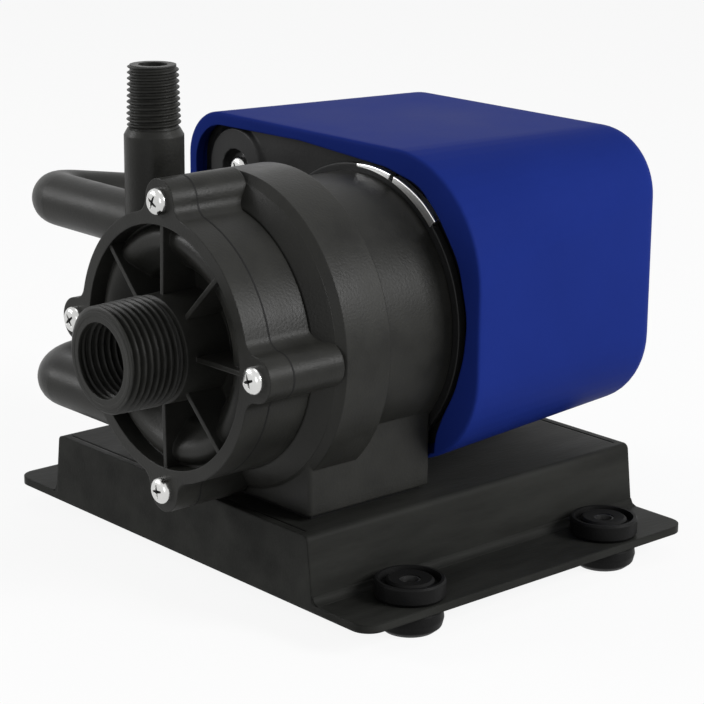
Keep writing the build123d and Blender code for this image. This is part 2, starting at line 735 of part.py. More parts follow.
with BuildPart() as motor_bolts:
    for x, z in BOLTS:
        with BuildSketch(facing(BRACKET_Y + 0.4, x, z)):
            Circle(BOLT_R)
        extrude(amount=-(REAR_Y + BRACKET_T - BRACKET_Y - 0.4))
        with BuildSketch(facing(REAR_Y + BRACKET_T, x, z)):
            RegularPolygon(4.0, 6)
        extrude(amount=-2.8)
finish(motor_bolts.part, "motor_bolts")

with BuildPart() as bolt_spacers:
    for x, z in BOLTS:
        for y0, y1 in ((BRACKET_Y + BRACKET_T, STACK_Y0), (STACK_Y1, REAR_Y)):
            with BuildSketch(facing(y0, x, z)):
                Circle(3.6)
                Circle(BOLT_R + CLEAR, mode=Mode.SUBTRACT)
            extrude(amount=-(y1 - y0))
finish(bolt_spacers.part, "bolt_spacers")

with BuildPart() as motor_shaft:
    with BuildSketch(facing(WEB_Y0 + 0.3)):
        Circle(SHAFT_R)
    extrude(amount=-(55.0 - WEB_Y0 - 0.3))
    chamfer(motor_shaft.edges().filter_by(GeomType.CIRCLE), length=0.4)
finish(motor_shaft.part, "motor_shaft")

with BuildPart() as rotor_core:
    with BuildSketch(facing(STACK_Y0)):
        Circle(BORE_R - 0.5)
        Circle(SHAFT_R + RUN, mode=Mode.SUBTRACT)
    extrude(amount=-STACK_T)
    for y0 in (STACK_Y0 - 2.0, STACK_Y1):
        with BuildSketch(facing(y0)):
            Circle(13.0)
            Circle(7.0, mode=Mode.SUBTRACT)
        extrude(amount=-2.0)
finish(rotor_core.part, "rotor_core")

FAN_Y = 45.0
with BuildPart() as cooling_fan:
    with BuildSketch(facing(FAN_Y)):
        Circle(6.0)
        Circle(SHAFT_R + RUN, mode=Mode.SUBTRACT)
    extrude(amount=-8.0)
    for k in range(6):
        blade_at = axial_at(60 * k)
        with Locations(blade_at * Pos(13.6, FAN_Y + 4.0, 0) * Rot(38, 0, 0)):
            Box(15.8, 8.0, 1.2)
finish(cooling_fan.part, "cooling_fan")


# ================= blue cover
def cover_outline(inset, draft):
    # the rounded box outline, shrunk by an inset and by the draft at the back
    x0 = COV_X0 + inset + 1.2 * draft
    x1 = COV_X1 - inset - 0.8 * draft
    z0 = COV_Z0 + inset + 3.4 * draft
    z1 = COV_Z1 - inset - 0.9 * draft
    with BuildSketch() as outline:
        with Locations(((x0 + x1) / 2, (z0 + z1) / 2)):
            Rectangle(x1 - x0, z1 - z0)
        fillet(outline.vertices().group_by(Axis.Y)[-1], radius=19.0 - inset)
        fillet(outline.vertices().group_by(Axis.Y)[0], radius=24.0 - inset)
    return outline.sketch


outer_front = cover_outline(0, 0)
outer_back = cover_outline(0, 1)
inner_front = cover_outline(COV_WALL, 0)
inner_back = cover_outline(COV_WALL, 1)

with BuildPart() as motor_cover:
    with BuildSketch(Plane.XZ.offset(-MOTOR_Y)):
        add(outer_front)
    with BuildSketch(Plane.XZ.offset(-COV_Y1)):
        add(outer_back)
    loft()
    fillet(motor_cover.edges().group_by(Axis.Y)[-1], radius=9.0)
    with BuildSketch(Plane.XZ.offset(-(MOTOR_Y + END_RING_T))):
        add(inner_front)
    with BuildSketch(Plane.XZ.offset(-(COV_Y1 - COV_WALL))):
        add(inner_back)
    loft(mode=Mode.SUBTRACT)
    # front opening: round the end ring at the right, square and wide at the left
    with BuildSketch(facing(MOTOR_Y)) as mouth:
        Circle(40.6)
    extrude(amount=-END_RING_T, mode=Mode.SUBTRACT)
    with BuildSketch(Plane.XZ.offset(-MOTOR_Y)) as mouth:
        with BuildLine():
            x0 = COV_X0 + COV_LIP
            z0 = COV_Z0 + COV_LIP
            z1 = COV_Z1 - COV_LIP
            Polyline(
                (AXIS_X + 8, z1), (x0 + 15, z1), (x0 + 5, z1 - 4.5), (x0, z1 - 14),
                (x0, z0 + 18), (x0 + 6, z0 + 6), (x0 + 18, z0), (AXIS_X + 8, z0), close=True,
            )
        make_face()
        fillet(mouth.vertices().filter_by(lambda v: v.X < x0 + 16), radius=5.0)
    extrude(amount=-END_RING_T, mode=Mode.SUBTRACT)
    for x, z in POSTS:
        with BuildSketch(facing(COV_Y1, x, z)):
            Circle(SCREW_R + CLEAR)
        extrude(amount=COV_WALL, mode=Mode.SUBTRACT)
    with BuildSketch(facing(COV_Y1, -28, 50)):
        Circle(5.0)
    extrude(amount=COV_WALL, mode=Mode.SUBTRACT)
finish(motor_cover.part, "motor_cover")

POST_Y0 = REAR_Y + BRACKET_T
with BuildPart() as cover_posts:
    for x, z in POSTS:
        with BuildSketch(facing(POST_Y0, x, z)):
            Circle(3.0)
        extrude(amount=-(COV_Y1 - COV_WALL - POST_Y0))
        with BuildSketch(facing(COV_Y1 - COV_WALL, x, z)):
            Circle(SCREW_R + RUN)
        extrude(amount=8.5, mode=Mode.SUBTRACT)
        with BuildSketch(facing(REAR_Y + 0.3, x, z)):
            Circle(SCREW_R - RUN)
        extrude(amount=-(BRACKET_T - 0.3))
finish(cover_posts.part, "cover_posts")

with BuildPart() as cover_screws:
    for x, z in POSTS:
        with BuildSketch(facing(COV_Y1 + 2.2, x, z)):
            Circle(SCREW_HEAD_R)
        extrude(amount=2.2)
        with BuildSketch(facing(COV_Y1, x, z)):
            Circle(SCREW_R)
        extrude(amount=COV_WALL + 8)
finish(cover_screws.part, "cover_screws")

with BuildPart() as cable_grommet:
    with BuildSketch(Plane(origin=(-28, 0, 50), x_dir=(1, 0, 0), z_dir=(0, 0, 1))):
        with BuildLine():
            Polyline(
                (2.9, COV_Y1 - COV_WALL - 2.2),
                (6.8, COV_Y1 - COV_WALL - 2.2),
                (6.8, COV_Y1 - COV_WALL - 0.02),
                (4.95, COV_Y1 - COV_WALL - 0.02),
                (4.95, COV_Y1 + 0.02),
                (6.8, COV_Y1 + 0.02),
                (6.4, COV_Y1 + 2.0),
                (2.9, COV_Y1 + 2.0),
                close=True,
            )
        make_face()
    revolve(axis=Axis((-28, 0, 50), (0, 1, 0)))
finish(cable_grommet.part, "cable_grommet")
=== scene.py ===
import json
import math

import bmesh
import bpy
import numpy as np
from bpy.props import FloatProperty, FloatVectorProperty, IntProperty, PointerProperty
from mathutils import Matrix, Vector


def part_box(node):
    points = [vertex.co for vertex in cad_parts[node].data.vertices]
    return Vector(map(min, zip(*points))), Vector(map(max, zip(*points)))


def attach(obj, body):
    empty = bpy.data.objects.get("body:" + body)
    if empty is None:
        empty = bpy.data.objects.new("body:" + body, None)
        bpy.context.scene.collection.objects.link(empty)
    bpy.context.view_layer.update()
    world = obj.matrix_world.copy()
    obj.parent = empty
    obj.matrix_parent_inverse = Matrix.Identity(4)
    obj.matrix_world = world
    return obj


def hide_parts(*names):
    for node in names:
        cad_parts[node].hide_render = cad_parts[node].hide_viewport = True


bl_info = {
    "name": "Air conditioner pump",
    "version": (1, 0, 0),
    "blender": (4, 5, 0),
    "location": "View3D > Sidebar > Pump",
    "description": "Moulded, threaded and painted surfaces of a magnet-drive air conditioner pump",
    "category": "Object",
}

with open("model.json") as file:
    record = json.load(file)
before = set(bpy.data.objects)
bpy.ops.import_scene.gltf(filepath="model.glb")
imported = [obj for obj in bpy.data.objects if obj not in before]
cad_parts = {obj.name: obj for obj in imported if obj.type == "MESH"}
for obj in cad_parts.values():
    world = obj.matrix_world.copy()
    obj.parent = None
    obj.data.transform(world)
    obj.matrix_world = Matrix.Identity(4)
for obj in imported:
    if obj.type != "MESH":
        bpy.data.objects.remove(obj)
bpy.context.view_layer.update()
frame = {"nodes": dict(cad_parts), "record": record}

MM = 0.001
TAU = 2.0 * math.pi


def node_box(name):
    """Lowest and highest corner of a solid, in millimetres."""
    low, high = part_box(name)
    return np.array(low) / MM, np.array(high) / MM


# places taken from the frame
spindle_low, spindle_high = node_box("spindle")
AXIS_X = float(spindle_low[0] + spindle_high[0]) / 2
AXIS_Z = float(spindle_low[2] + spindle_high[2]) / 2
INLET_TIP = float(node_box("front_cover")[0][1])
OUTLET_TOP = float(node_box("volute_casing")[1][2])
MOTOR_Y = float(node_box("motor_cover")[0][1])
COVER_BACK = float(node_box("motor_cover")[1][1])

# sizes of the solids that the new surfaces meet
FACE_Y = INLET_TIP + 17.6
JOINT_Y = FACE_Y + 7.0
OUTLET_X = AXIS_X - 21.3
OUTLET_Y = -57.6
THREAD_LOW = 115.0
RING_R = 33.0
LOBE_R = 5.5
LOBE_PCD_R = 35.5
HEAD_R = 3.3


# sizes and colours a user may change
class PumpSizes(bpy.types.PropertyGroup):
    """Sizes of the small visible features, in millimetres."""

    inlet_crest: FloatProperty(
        name="Inlet crest", description="Radius of the outer inlet thread over its crests",
        default=13.2, min=12.0, max=14.0,
    )
    inlet_pitch: FloatProperty(
        name="Inlet pitch", description="Distance between crests of both inlet threads",
        default=1.814, min=1.0, max=3.0,
    )
    outlet_crest: FloatProperty(
        name="Outlet crest", description="Radius of the outlet thread over its crests",
        default=6.55, min=5.8, max=7.2,
    )
    outlet_pitch: FloatProperty(
        name="Outlet pitch", description="Distance between crests of the outlet thread",
        default=1.411, min=0.8, max=2.5,
    )
    screw_head: FloatProperty(
        name="Screw head", description="Radius of the pan heads", default=3.3, min=2.0, max=4.5,
    )
    cross_length: FloatProperty(
        name="Cross length", description="Half length of the recess in the pan heads",
        default=1.75, min=1.0, max=2.5,
    )
    mesh_turns: IntProperty(
        name="Round steps", description="Steps round a turned surface", default=160, min=48, max=256,
    )


class PumpColours(bpy.types.PropertyGroup):
    """Colours of the finishes."""

    plastic: FloatVectorProperty(
        name="Moulded plastic", description="Black glass-filled plastic of the wet end",
        subtype="COLOR", size=3, min=0.0, max=1.0, default=(0.0165, 0.0165, 0.0148),
    )
    cover: FloatVectorProperty(
        name="Cover", description="Blue plastic of the motor cover",
        subtype="COLOR", size=3, min=0.0, max=1.0, default=(0.0105, 0.0235, 0.165),
    )
    base: FloatVectorProperty(
        name="Base", description="Black coating of the base",
        subtype="COLOR", size=3, min=0.0, max=1.0, default=(0.0195, 0.0198, 0.0182),
    )
    rubber: FloatVectorProperty(
        name="Feet", description="Black rubber of the feet",
        subtype="COLOR", size=3, min=0.0, max=1.0, default=(0.005, 0.005, 0.005),
    )
    steel: FloatVectorProperty(
        name="Screws", description="Bright stainless steel",
        subtype="COLOR", size=3, min=0.0, max=1.0, default=(0.62, 0.62, 0.61),
    )


# finishes
GRAIN_DEPTH = 0.00012


def grained(name, colour, roughness, *, metallic=0.0, tone=0.25, grain=900.0, bump=0.06,
            blotch=28.0, rough_span=0.08, specular=0.5, edge=0.0, stretch=(1.0, 1.0, 1.0)):
    """A finish from two noises on Object coordinates: a broad one shifts tone and gloss,
    a fine one gives the grain of the surface. Edges may be rounded by a normal of width edge."""
    mat = bpy.data.materials.new(name)
    mat.use_nodes = True
    tree = mat.node_tree
    tree.nodes.clear()

    node = tree.nodes.new
    out = node("ShaderNodeOutputMaterial")
    shader = node("ShaderNodeBsdfPrincipled")
    shader.inputs["Metallic"].default_value = metallic
    shader.inputs["Specular IOR Level"].default_value = specular
    tree.links.new(shader.outputs[0], out.inputs[0])

    place = node("ShaderNodeTexCoord")
    turn = node("ShaderNodeMapping")
    turn.inputs["Scale"].default_value = stretch
    tree.links.new(place.outputs["Object"], turn.inputs["Vector"])

    broad = node("ShaderNodeTexNoise")
    broad.inputs["Scale"].default_value = blotch
    broad.inputs["Detail"].default_value = 5.0
    broad.inputs["Roughness"].default_value = 0.6
    fine = node("ShaderNodeTexNoise")
    fine.inputs["Scale"].default_value = grain
    fine.inputs["Detail"].default_value = 3.0
    fine.inputs["Roughness"].default_value = 0.55
    for noise in (broad, fine):
        tree.links.new(turn.outputs[0], noise.inputs["Vector"])

    low = tuple(c * (1.0 - tone) for c in colour) + (1.0,)
    high = tuple(min(1.0, c * (1.0 + tone)) for c in colour) + (1.0,)
    ramp = node("ShaderNodeValToRGB")
    ramp.color_ramp.elements[0].position = 0.32
    ramp.color_ramp.elements[0].color = low
    ramp.color_ramp.elements[1].position = 0.68
    ramp.color_ramp.elements[1].color = high
    tree.links.new(broad.outputs["Fac"], ramp.inputs["Fac"])
    tree.links.new(ramp.outputs["Color"], shader.inputs["Base Color"])

    gloss = node("ShaderNodeMapRange")
    gloss.inputs["From Min"].default_value = 0.3
    gloss.inputs["From Max"].default_value = 0.7
    gloss.inputs["To Min"].default_value = max(0.02, roughness - rough_span)
    gloss.inputs["To Max"].default_value = min(1.0, roughness + rough_span)
    tree.links.new(broad.outputs["Fac"], gloss.inputs["Value"])
    tree.links.new(gloss.outputs[0], shader.inputs["Roughness"])

    relief = node("ShaderNodeBump")
    relief.inputs["Strength"].default_value = bump
    relief.inputs["Distance"].default_value = GRAIN_DEPTH
    tree.links.new(fine.outputs["Fac"], relief.inputs["Height"])
    tree.links.new(relief.outputs[0], shader.inputs["Normal"])
    if edge:
        worn = node("ShaderNodeBevel")
        worn.samples = 4
        worn.inputs["Radius"].default_value = edge
        tree.links.new(worn.outputs[0], relief.inputs["Normal"])
    return mat


FINISHES = {}


def make_finishes(colours):
    """Every finish of the pump by the name of its material slot."""
    plastic = tuple(colours.plastic)
    FINISHES["black_plastic"] = grained(
        "moulded_plastic", plastic, 0.4, tone=0.28, grain=1500.0, bump=0.5, blotch=70.0,
        rough_span=0.08, specular=0.14, edge=0.0005)
    FINISHES["blue_cover"] = grained(
        "blue_cover_plastic", tuple(colours.cover), 0.42, tone=0.06, grain=1100.0, bump=0.2,
        blotch=18.0, rough_span=0.05, specular=0.006, edge=0.0006)
    FINISHES["base_sheet"] = grained(
        "black_coated_sheet", tuple(colours.base), 0.38, tone=0.34, grain=1300.0, bump=0.4,
        blotch=90.0, rough_span=0.1, specular=0.03, edge=0.0009, stretch=(1.0, 0.22, 1.0))
    FINISHES["foot_rubber"] = grained(
        "foot_rubber", tuple(colours.rubber), 0.5, tone=0.3, grain=1700.0, bump=0.4, specular=0.08)
    # dark rubber, real on the joint line and painted shade in the screw recesses and the grommet bore
    FINISHES["seal_rubber"] = grained(
        "seal_rubber", (0.006, 0.006, 0.006), 0.62, tone=0.3, grain=1500.0, bump=0.3, specular=0.15)
    FINISHES["screw_steel"] = grained(
        "screw_steel", tuple(colours.steel), 0.2, metallic=1.0, tone=0.1, grain=1900.0, bump=0.08,
        rough_span=0.06)
    FINISHES["plain_steel"] = grained(
        "plain_steel", (0.13, 0.13, 0.13), 0.4, metallic=1.0, tone=0.18, grain=1200.0, bump=0.15)
    # bright alloy, also the painted highlight on the upper right arcs of the end ring
    FINISHES["end_alloy"] = grained(
        "end_alloy", (0.86, 0.86, 0.85), 0.3, metallic=1.0, tone=0.08, grain=1400.0, bump=0.15)
    # black finish, real on the bracket plate and painted shade on the end ring
    FINISHES["bracket_metal"] = grained(
        "bracket_metal", (0.012, 0.012, 0.012), 0.42, tone=0.25, grain=900.0, bump=0.35, specular=0.2)
    FINISHES["lamination"] = grained(
        "laminated_sheet", (0.22, 0.225, 0.235), 0.42, metallic=1.0, tone=0.2, grain=300.0, bump=0.5,
        stretch=(0.02, 6.0, 0.02))
    FINISHES["coil_tape"] = grained(
        "winding_tape", (0.62, 0.46, 0.09), 0.45, tone=0.12, grain=260.0, bump=0.35, stretch=(1.0, 1.0, 5.0))
    FINISHES["bobbin_plastic"] = grained(
        "bobbin_plastic", (0.6, 0.59, 0.54), 0.5, tone=0.08, grain=900.0, bump=0.15)
    FINISHES["magnet_ferrite"] = grained(
        "ferrite", (0.05, 0.05, 0.053), 0.55, tone=0.2, grain=1600.0, bump=0.5)
    FINISHES["ceramic_white"] = grained(
        "ground_ceramic", (0.72, 0.71, 0.66), 0.25, tone=0.05, grain=1500.0, bump=0.05)
    FINISHES["bush_carbon"] = grained(
        "filled_carbon", (0.03, 0.03, 0.03), 0.4, tone=0.2, grain=1500.0, bump=0.2)
    FINISHES["bronze_bush"] = grained(
        "sintered_bronze", (0.45, 0.28, 0.12), 0.42, metallic=1.0, tone=0.2, grain=1700.0, bump=0.4)
    FINISHES["fan_plastic"] = grained(
        "fan_plastic", (0.04, 0.04, 0.04), 0.42, tone=0.15, grain=900.0, bump=0.15)


def slot_of(node):
    """The record's material slot of a solid."""
    for part in frame["record"]["subparts"]:
        if part["node"] == node:
            return part["material_slot"]
    raise RuntimeError(f"no slot for {node}")


# surfaces
def soften(points, radii, steps=5):
    """Round the corners of a profile: each corner becomes a circular arc of its radius, as the
    rational curve ((1-s)^2 A + 2s(1-s)w P + s^2 B) / sum of weights, where w is the sine of half
    the corner's inner angle. A radius of 0 keeps the corner."""
    p = np.asarray(points, float)
    r = np.asarray(radii, float)[:, None]
    before = np.roll(p, 1, axis=0) - p
    after = np.roll(p, -1, axis=0) - p
    before /= np.linalg.norm(before, axis=1, keepdims=True)
    after /= np.linalg.norm(after, axis=1, keepdims=True)
    half = np.arccos(np.clip((before * after).sum(1, keepdims=True), -1, 1)) / 2
    trim = np.where(r > 0, r / np.tan(np.maximum(half, 1e-3)), 0.0)
    a = (p + before * trim)[:, None]
    b = (p + after * trim)[:, None]
    s = np.linspace(0, 1, steps)[None, :, None]
    w = np.sin(half)[:, None]
    top = (1 - s) ** 2 * a + 2 * s * (1 - s) * w * p[:, None] + s ** 2 * b
    return (top / ((1 - s) ** 2 + 2 * s * (1 - s) * w + s ** 2)).reshape(-1, 2)


def grid_quads(rows, cols, close_rows, close_cols):
    """Quads of a grid of rows by cols points, wrapped either way."""
    r = np.arange(rows if close_rows else rows - 1)[:, None]
    c = np.arange(cols if close_cols else cols - 1)[None, :]
    r2, c2 = (r + 1) % rows, (c + 1) % cols
    return np.stack([r * cols + c, r * cols + c2, r2 * cols + c2, r2 * cols + c], axis=-1).reshape(-1, 4)


class Shells:
    """Collects closed shells for one piece."""

    def __init__(self):
        """Start without points or faces."""
        self.points, self.faces, self.count = [], [], 0

    def grid(self, xyz, close_rows=True, close_cols=True):
        """Add a grid of points with shape (rows, cols, 3), in millimetres."""
        rows, cols = xyz.shape[:2]
        self.faces.append(grid_quads(rows, cols, close_rows, close_cols) + self.count)
        self.points.append(xyz.reshape(-1, 3))
        self.count += rows * cols
        return self

    def piece(self, name, body, slot, replaces=(), sharp=32.0):
        """Join the shells into one object: doubles merged, faces outwards, smooth up to a sharp angle."""
        verts = np.concatenate(self.points) * MM
        mesh = bpy.data.meshes.new(name)
        mesh.from_pydata(verts, [], np.concatenate(self.faces).tolist())
        work = bmesh.new()
        work.from_mesh(mesh)
        bmesh.ops.remove_doubles(work, verts=work.verts, dist=2e-7)
        bmesh.ops.dissolve_degenerate(work, dist=1e-7, edges=work.edges)
        bmesh.ops.recalc_face_normals(work, faces=work.faces)
        work.to_mesh(mesh)
        work.free()
        mesh.shade_smooth()
        mesh.set_sharp_from_angle(angle=math.radians(sharp))
        obj = bpy.data.objects.new(name, mesh)
        bpy.context.scene.collection.objects.link(obj)
        mesh.materials.append(FINISHES[slot])
        if replaces:
            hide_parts(*replaces)
        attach(obj, body)
        return obj


def round_angles(n):
    """n angles round the circle, without the repeated end."""
    return np.arange(n) * TAU / n


def turned_y(profile, n, x=AXIS_X, z=AXIS_Z):
    """Surface of revolution about a line along Y: x + r cos a, y, z + r sin a for a profile of (r, y)."""
    a = round_angles(n)[None, :]
    r, y = profile[:, 0, None], profile[:, 1, None]
    return np.stack([x + r * np.cos(a), y + 0 * a, z + r * np.sin(a)], axis=-1)


def thread_height(phase, flat=0.16):
    """Height 0..1 of a pipe thread over one pitch: straight flanks with small flats at crest and root."""
    wave = np.abs((phase % 1.0) * 2.0 - 1.0)
    return np.clip((wave - flat) / (1.0 - 2.0 * flat), 0.0, 1.0)


# wet end
PIPE_TAPER = 1 / 32.0
TIP_GAP = 0.03
INLET_THREAD_LENGTH = 15.4
INLET_THREAD_DEPTH = 1.25
INLET_INNER_SIDE_R = 11.2
BORE_THREAD_LENGTH = 16.0
BORE_THREAD_DEPTH = 1.05
BORE_CREST_R = 9.15
BORE_TAPER = -1 / 40.0
BORE_OUTER_SIDE_R = 11.3
OUTLET_THREAD_DEPTH = 0.8
OUTLET_INNER_SIDE_R = 5.3


def pipe_sleeve(along, root, depth, pitch, taper, plain_r, ends, n, start=0.0):
    """Radii and distances of a threaded sleeve with n steps round: root plus taper times the distance
    from the tip, plus depth times the thread wave of (distance + pitch * turn). The wave grows over the
    first length of ends, from the share start, and fades over the second. The other side is plain_r."""
    a = round_angles(n)[None, :]
    d = along[:, None]
    run = np.clip((d - along[0]) / ends[0] + start, 0, 1) * np.clip((along[-1] - d) / ends[1], 0, 1)
    wave = thread_height((d + pitch * a / TAU) / pitch)
    threaded = root + taper * (d - along[0]) + depth * wave * run
    plain = np.full((1, n), plain_r)
    distances = np.concatenate([d + 0 * a, plain * 0 + along[-1], plain * 0 + along[0]])
    return np.concatenate([threaded, plain, plain]), distances


class PUMP_OT_inlet(bpy.types.Operator):
    """Outer and inner pipe threads of the inlet tube"""

    bl_idname = "pump.inlet"
    bl_label = "Inlet threads"

    def execute(self, context):
        sizes = context.scene.pump_sizes
        n = sizes.mesh_turns
        a = round_angles(n)[None, :]
        root = sizes.inlet_crest - INLET_THREAD_DEPTH - 0.25
        outer = pipe_sleeve(np.linspace(0.0, INLET_THREAD_LENGTH, 140), root, INLET_THREAD_DEPTH,
                            sizes.inlet_pitch, PIPE_TAPER, INLET_INNER_SIDE_R, (0.45, 2.2), n, 0.7)
        inner = pipe_sleeve(np.linspace(0.0, BORE_THREAD_LENGTH, 150), BORE_CREST_R, BORE_THREAD_DEPTH,
                            sizes.inlet_pitch, BORE_TAPER, BORE_OUTER_SIDE_R, (1.6, 1.6), n, -0.5)
        shells = Shells()
        for r, d in (outer, inner):
            shells.grid(np.stack([AXIS_X + r * np.cos(-a), INLET_TIP + TIP_GAP + d, AXIS_Z + r * np.sin(-a)],
                                 axis=-1))
        shells.piece("inlet_threads", "pump_frame", "black_plastic", sharp=50.0)
        return {"FINISHED"}


class PUMP_OT_outlet(bpy.types.Operator):
    """Pipe thread at the top of the outlet neck, narrowing towards the top"""

    bl_idname = "pump.outlet"
    bl_label = "Outlet thread"

    def execute(self, context):
        sizes = context.scene.pump_sizes
        n = sizes.mesh_turns
        a = round_angles(n)[None, :]
        root = sizes.outlet_crest - OUTLET_THREAD_DEPTH - 0.35
        r, d = pipe_sleeve(np.linspace(0.0, OUTLET_TOP - THREAD_LOW + 0.4, 150), root, OUTLET_THREAD_DEPTH,
                           sizes.outlet_pitch, PIPE_TAPER, OUTLET_INNER_SIDE_R, (0.4, 1.5), n, 0.3)
        sleeve = np.stack([OUTLET_X + r * np.cos(a), OUTLET_Y + r * np.sin(a), OUTLET_TOP - TIP_GAP - d],
                          axis=-1)
        Shells().grid(sleeve).piece("outlet_thread", "pump_frame", "black_plastic", sharp=50.0)
        return {"FINISHED"}


# screws
RECESS_DEPTH = 1.25
RECESS_HALF_WIDTH = 0.42
HEAD_EDGE = 0.55
SHANK_R = 1.6
SHADE_LOW = 0.7
SHADE_HALF_LENGTH = 1.45
SHADE_HALF_WIDTH = 0.36


def cross_recess(x, z, length, width):
    """Depth share 0..1 of a cross recess at (x, z): two bars of a half width that tapers outwards,
    joined by a square core that stands on its corner."""
    ax, az = np.abs(x), np.abs(z)
    bars = np.maximum(np.clip((length - ax) / 0.25, 0, 1) * np.clip((width - az - 0.12 * ax) / 0.16, 0, 1),
                      np.clip((length - az) / 0.25, 0, 1) * np.clip((width - ax - 0.12 * az) / 0.16, 0, 1))
    core = np.clip((width * 1.7 - (ax + az)) / 0.3, 0, 1)
    return np.maximum(bars, core)


def pan_head(sizes, x, z, seat, outwards, turn, height):
    """Pan head as a height field on polar rings: a low dome, edge + (height - edge) * sqrt(1 - (r/rim)^4),
    less the recess. outwards is -1 for a head that looks towards -Y and +1 for one that looks towards +Y."""
    n = 96
    a = round_angles(n)[None, :]
    rim = sizes.screw_head
    edge_turns = np.linspace(0.27 * math.pi, 0.5 * math.pi, 12)
    r = np.unique(np.concatenate([np.linspace(0.0, 0.75, 46) * rim, rim * np.sin(edge_turns)]))[:, None]
    dome = HEAD_EDGE + (height - HEAD_EDGE) * np.sqrt(np.clip(1 - (r / rim) ** 4, 0, 1))
    u, v = r * np.cos(a - turn), r * np.sin(a - turn)
    recess = cross_recess(u, v, sizes.cross_length, RECESS_HALF_WIDTH)
    top = dome - RECESS_DEPTH * recess * (1 - 0.3 * r / sizes.cross_length)
    radii = np.concatenate([r + 0 * a, np.full((1, n), rim), np.zeros((1, n))])
    lift = np.concatenate([top, np.zeros((1, n)), np.zeros((1, n))])
    return np.stack([x + radii * np.cos(a), seat + outwards * lift, z + radii * np.sin(a)], axis=-1)


def screw_shank(x, z, seat, inwards, length):
    """Plain shank behind a head, turned about its axis from a profile with a blunt point."""
    profile = np.array([(0.0, 0.02), (SHANK_R, 0.02), (SHANK_R, length - 0.8), (SHANK_R * 0.4, length),
                        (0.0, length)])
    grid = turned_y(profile, 32, x, z)
    grid[..., 1] = seat + inwards * grid[..., 1]
    return grid


def recess_shade_bars(x, z, seat, outwards, turn, high):
    """Two crossed dark bars in the recess of a head, painted shade, from SHADE_LOW to high above its
    seat. Each is a box with its corners at +-SHADE_HALF_LENGTH along and +-SHADE_HALF_WIDTH across,
    turned about the head's axis."""
    bars = []
    for extra in (0.0, TAU / 4):
        along = np.array([math.cos(turn + extra), math.sin(turn + extra)])
        across = np.array([-along[1], along[0]])
        corners = [along * SHADE_HALF_LENGTH * p + across * SHADE_HALF_WIDTH * q
                   for p, q in ((-1, -1), (1, -1), (1, 1), (-1, 1))]
        rings = []
        for share, lift in ((0.0, SHADE_LOW), (1.0, SHADE_LOW), (1.0, high), (0.0, high)):
            rings.append([(x + c[0] * share, seat + outwards * lift, z + c[1] * share) for c in corners])
        bars.append(np.array(rings))
    return bars


def screw_pair(solid):
    """The axis x of two screws that stand one above the other, and the axis z of the upper and lower one."""
    low, high = node_box(solid)
    return (float(low[0]) + float(high[0])) / 2, (float(high[2]) - HEAD_R, float(low[2]) + HEAD_R)


class PUMP_OT_screws(bpy.types.Operator):
    """Pan head screws with cross recesses"""

    bl_idname = "pump.screws"
    bl_label = "Screws"

    def execute(self, context):
        lobes = []
        for k, turn in enumerate((0.35, 1.1, 0.62, 0.15)):
            lobes.append((AXIS_X + LOBE_PCD_R * math.cos(k * TAU / 4),
                          AXIS_Z + LOBE_PCD_R * math.sin(k * TAU / 4), turn))
        arm_x, arm_levels = screw_pair("arm_screws")
        arm_ends = [(arm_x, z, turn) for z, turn in zip(arm_levels, (0.5, 0.2))]
        arm_seat = float(node_box("arm_screws")[0][1]) + 2.3
        back_x, back_levels = screw_pair("cover_screws")
        cover_back = [(back_x, z, turn) for z, turn in zip(back_levels, (0.7, 0.1))]
        cover_seat = float(node_box("cover_screws")[1][1]) - 2.2
        # each row: screw, places with turns, seat, way the heads look, height of a head, length of a shank
        rows = (
            ("housing_screw", lobes, FACE_Y, -1, 2.25, 29.5),
            ("arm_screw", arm_ends, arm_seat, -1, 2.25, 8.8),
            ("cover_screw", cover_back, cover_seat, 1, 2.15, 10.5),
        )
        # dark rubber bars in the cross recesses are painted shade
        shade = Shells()
        for name, places, seat, outwards, height, length in rows:
            shells = Shells()
            for x, z, turn in places:
                shells.grid(pan_head(context.scene.pump_sizes, x, z, seat, outwards, turn, height),
                            close_rows=False)
                shells.grid(screw_shank(x, z, seat, -outwards, length), close_rows=False)
                for bar in recess_shade_bars(x, z, seat, outwards, turn, height - 0.3):
                    shade.grid(bar, close_rows=False)
            shells.piece(name + "_set", "pump_frame", "screw_steel", (name + "s",), sharp=28.0)
        shade.piece("recess_shade", "pump_frame", "seal_rubber")
        return {"FINISHED"}


# adapter front and end ring
HOLLOW_R = 4.0
HOLLOW_OUT = 37.0
HOLLOW_BESIDE = math.radians(14.87)
LOBE_END = math.radians(8.6)
END_RING_R = (34.6, 36.25, 37.0)
END_RING_THICK = 2.4


def lobed_reach(turn):
    """Distance from the pump axis to the lobed flange: the larger of the ring and the four lobes, and
    between them a hollow blend whose centre stands HOLLOW_OUT from the axis, HOLLOW_BESIDE each lobe."""
    off = (turn + TAU / 8) % (TAU / 4) - TAU / 8
    lobe = LOBE_PCD_R * np.cos(off) + np.sqrt(np.clip(LOBE_R ** 2 - (LOBE_PCD_R * np.sin(off)) ** 2, 0, None))
    inside = np.abs(LOBE_PCD_R * np.sin(off)) < LOBE_R
    out = np.where(inside, lobe, RING_R)
    beside = np.abs(off) - HOLLOW_BESIDE
    root = HOLLOW_R ** 2 - (HOLLOW_OUT * np.sin(beside)) ** 2
    hollow = np.where(root > 0, HOLLOW_OUT * np.cos(beside) - np.sqrt(np.clip(root, 0, None)), 0.0)
    blend = (np.abs(off) > LOBE_END) & (beside < 0) & (root > 0)
    return np.where(blend, np.maximum(hollow, RING_R), np.maximum(out, RING_R))


